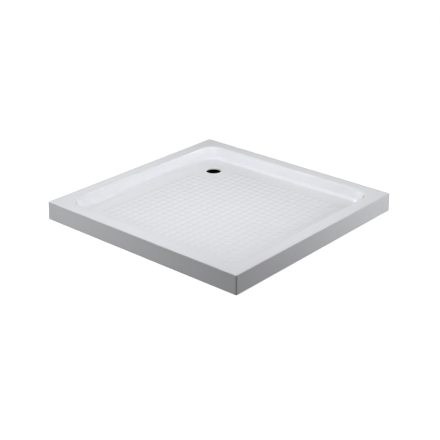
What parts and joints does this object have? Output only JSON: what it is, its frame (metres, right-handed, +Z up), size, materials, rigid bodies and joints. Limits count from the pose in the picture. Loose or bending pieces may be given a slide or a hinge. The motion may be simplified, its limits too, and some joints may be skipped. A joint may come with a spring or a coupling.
{
  "type": "shower tray",
  "caption": "Square low shower tray with a flat rim, sunken basin with a slip-resistant field of raised pads, corner outlet hole and hidden levelling feet.",
  "frame": {"origin": "centre of the underside, on the floor that the tray stands on", "axes": "+Z up; +X right and +Y back, with the outlet in the back right corner"},
  "size_m": [0.9, 0.9, 0.07],
  "materials": {
    "white_acrylic": "glossy white cast acrylic",
    "glass_fibre_laminate": "sprayed glass fibre and resin, rough",
    "chipboard": "raw chipboard",
    "softwood": "planed softwood",
    "rubber": "matt black rubber",
    "zinc_plated_steel": "bright zinc plating",
    "black_nylon": "moulded, matt"
  },
  "bodies": {
    "tray": {"tray_shell": "white_acrylic", "glass_fibre_backing": "glass_fibre_laminate", "base_board": "chipboard", "support_pads": "rubber", "batten_front": "softwood", "batten_back": "softwood", "batten_left": "softwood", "batten_right": "softwood", "foot_plates": "zinc_plated_steel", "plate_screws": "zinc_plated_steel", "lock_nuts": "zinc_plated_steel"},
    "foot_front_left": {"foot_pad_front_left": "black_nylon", "foot_sole_front_left": "rubber"},
    "screw_front_left": {"stud_front_left": "zinc_plated_steel"},
    "foot_front_middle": {"foot_pad_front_middle": "black_nylon", "foot_sole_front_middle": "rubber"},
    "screw_front_middle": {"stud_front_middle": "zinc_plated_steel"},
    "foot_front_right": {"foot_pad_front_right": "black_nylon", "foot_sole_front_right": "rubber"},
    "screw_front_right": {"stud_front_right": "zinc_plated_steel"},
    "foot_right_middle": {"foot_pad_right_middle": "black_nylon", "foot_sole_right_middle": "rubber"},
    "screw_right_middle": {"stud_right_middle": "zinc_plated_steel"},
    "foot_back_right": {"foot_pad_back_right": "black_nylon", "foot_sole_back_right": "rubber"},
    "screw_back_right": {"stud_back_right": "zinc_plated_steel"},
    "foot_back_middle": {"foot_pad_back_middle": "black_nylon", "foot_sole_back_middle": "rubber"},
    "screw_back_middle": {"stud_back_middle": "zinc_plated_steel"},
    "foot_back_left": {"foot_pad_back_left": "black_nylon", "foot_sole_back_left": "rubber"},
    "screw_back_left": {"stud_back_left": "zinc_plated_steel"},
    "foot_left_middle": {"foot_pad_left_middle": "black_nylon", "foot_sole_left_middle": "rubber"},
    "screw_left_middle": {"stud_left_middle": "zinc_plated_steel"}
  },
  "joints": [
    {"name": "foot_drop_front_left", "type": "slide", "parent": "tray", "child": "foot_front_left", "axis": [0, 0, -1], "range_m": [0, 0.012]},
    {"name": "stud_turn_front_left", "type": "hinge", "parent": "foot_front_left", "child": "screw_front_left", "pos_m": [-0.422, -0.422, 0.02], "axis": [0, 0, -1], "range_deg": [0, 2880]},
    {"name": "foot_drop_front_middle", "type": "slide", "parent": "tray", "child": "foot_front_middle", "axis": [0, 0, -1], "range_m": [0, 0.012]},
    {"name": "stud_turn_front_middle", "type": "hinge", "parent": "foot_front_middle", "child": "screw_front_middle", "pos_m": [0, -0.422, 0.02], "axis": [0, 0, -1], "range_deg": [0, 2880]},
    {"name": "foot_drop_front_right", "type": "slide", "parent": "tray", "child": "foot_front_right", "axis": [0, 0, -1], "range_m": [0, 0.012]},
    {"name": "stud_turn_front_right", "type": "hinge", "parent": "foot_front_right", "child": "screw_front_right", "pos_m": [0.422, -0.422, 0.02], "axis": [0, 0, -1], "range_deg": [0, 2880]},
    {"name": "foot_drop_right_middle", "type": "slide", "parent": "tray", "child": "foot_right_middle", "axis": [0, 0, -1], "range_m": [0, 0.012]},
    {"name": "stud_turn_right_middle", "type": "hinge", "parent": "foot_right_middle", "child": "screw_right_middle", "pos_m": [0.422, 0, 0.02], "axis": [0, 0, -1], "range_deg": [0, 2880]},
    {"name": "foot_drop_back_right", "type": "slide", "parent": "tray", "child": "foot_back_right", "axis": [0, 0, -1], "range_m": [0, 0.012]},
    {"name": "stud_turn_back_right", "type": "hinge", "parent": "foot_back_right", "child": "screw_back_right", "pos_m": [0.422, 0.422, 0.02], "axis": [0, 0, -1], "range_deg": [0, 2880]},
    {"name": "foot_drop_back_middle", "type": "slide", "parent": "tray", "child": "foot_back_middle", "axis": [0, 0, -1], "range_m": [0, 0.012]},
    {"name": "stud_turn_back_middle", "type": "hinge", "parent": "foot_back_middle", "child": "screw_back_middle", "pos_m": [0, 0.422, 0.02], "axis": [0, 0, -1], "range_deg": [0, 2880]},
    {"name": "foot_drop_back_left", "type": "slide", "parent": "tray", "child": "foot_back_left", "axis": [0, 0, -1], "range_m": [0, 0.012]},
    {"name": "stud_turn_back_left", "type": "hinge", "parent": "foot_back_left", "child": "screw_back_left", "pos_m": [-0.422, 0.422, 0.02], "axis": [0, 0, -1], "range_deg": [0, 2880]},
    {"name": "foot_drop_left_middle", "type": "slide", "parent": "tray", "child": "foot_left_middle", "axis": [0, 0, -1], "range_m": [0, 0.012]},
    {"name": "stud_turn_left_middle", "type": "hinge", "parent": "foot_left_middle", "child": "screw_left_middle", "pos_m": [-0.422, 0, 0.02], "axis": [0, 0, -1], "range_deg": [0, 2880]}
  ],
  "couplings": [
    {"joint": "stud_turn_front_left", "follows": "foot_drop_front_left", "rad_per_m": 4188.8},
    {"joint": "stud_turn_front_middle", "follows": "foot_drop_front_middle", "rad_per_m": 4188.8},
    {"joint": "stud_turn_front_right", "follows": "foot_drop_front_right", "rad_per_m": 4188.8},
    {"joint": "stud_turn_right_middle", "follows": "foot_drop_right_middle", "rad_per_m": 4188.8},
    {"joint": "stud_turn_back_right", "follows": "foot_drop_back_right", "rad_per_m": 4188.8},
    {"joint": "stud_turn_back_middle", "follows": "foot_drop_back_middle", "rad_per_m": 4188.8},
    {"joint": "stud_turn_back_left", "follows": "foot_drop_back_left", "rad_per_m": 4188.8},
    {"joint": "stud_turn_left_middle", "follows": "foot_drop_left_middle", "rad_per_m": 4188.8}
  ]
}
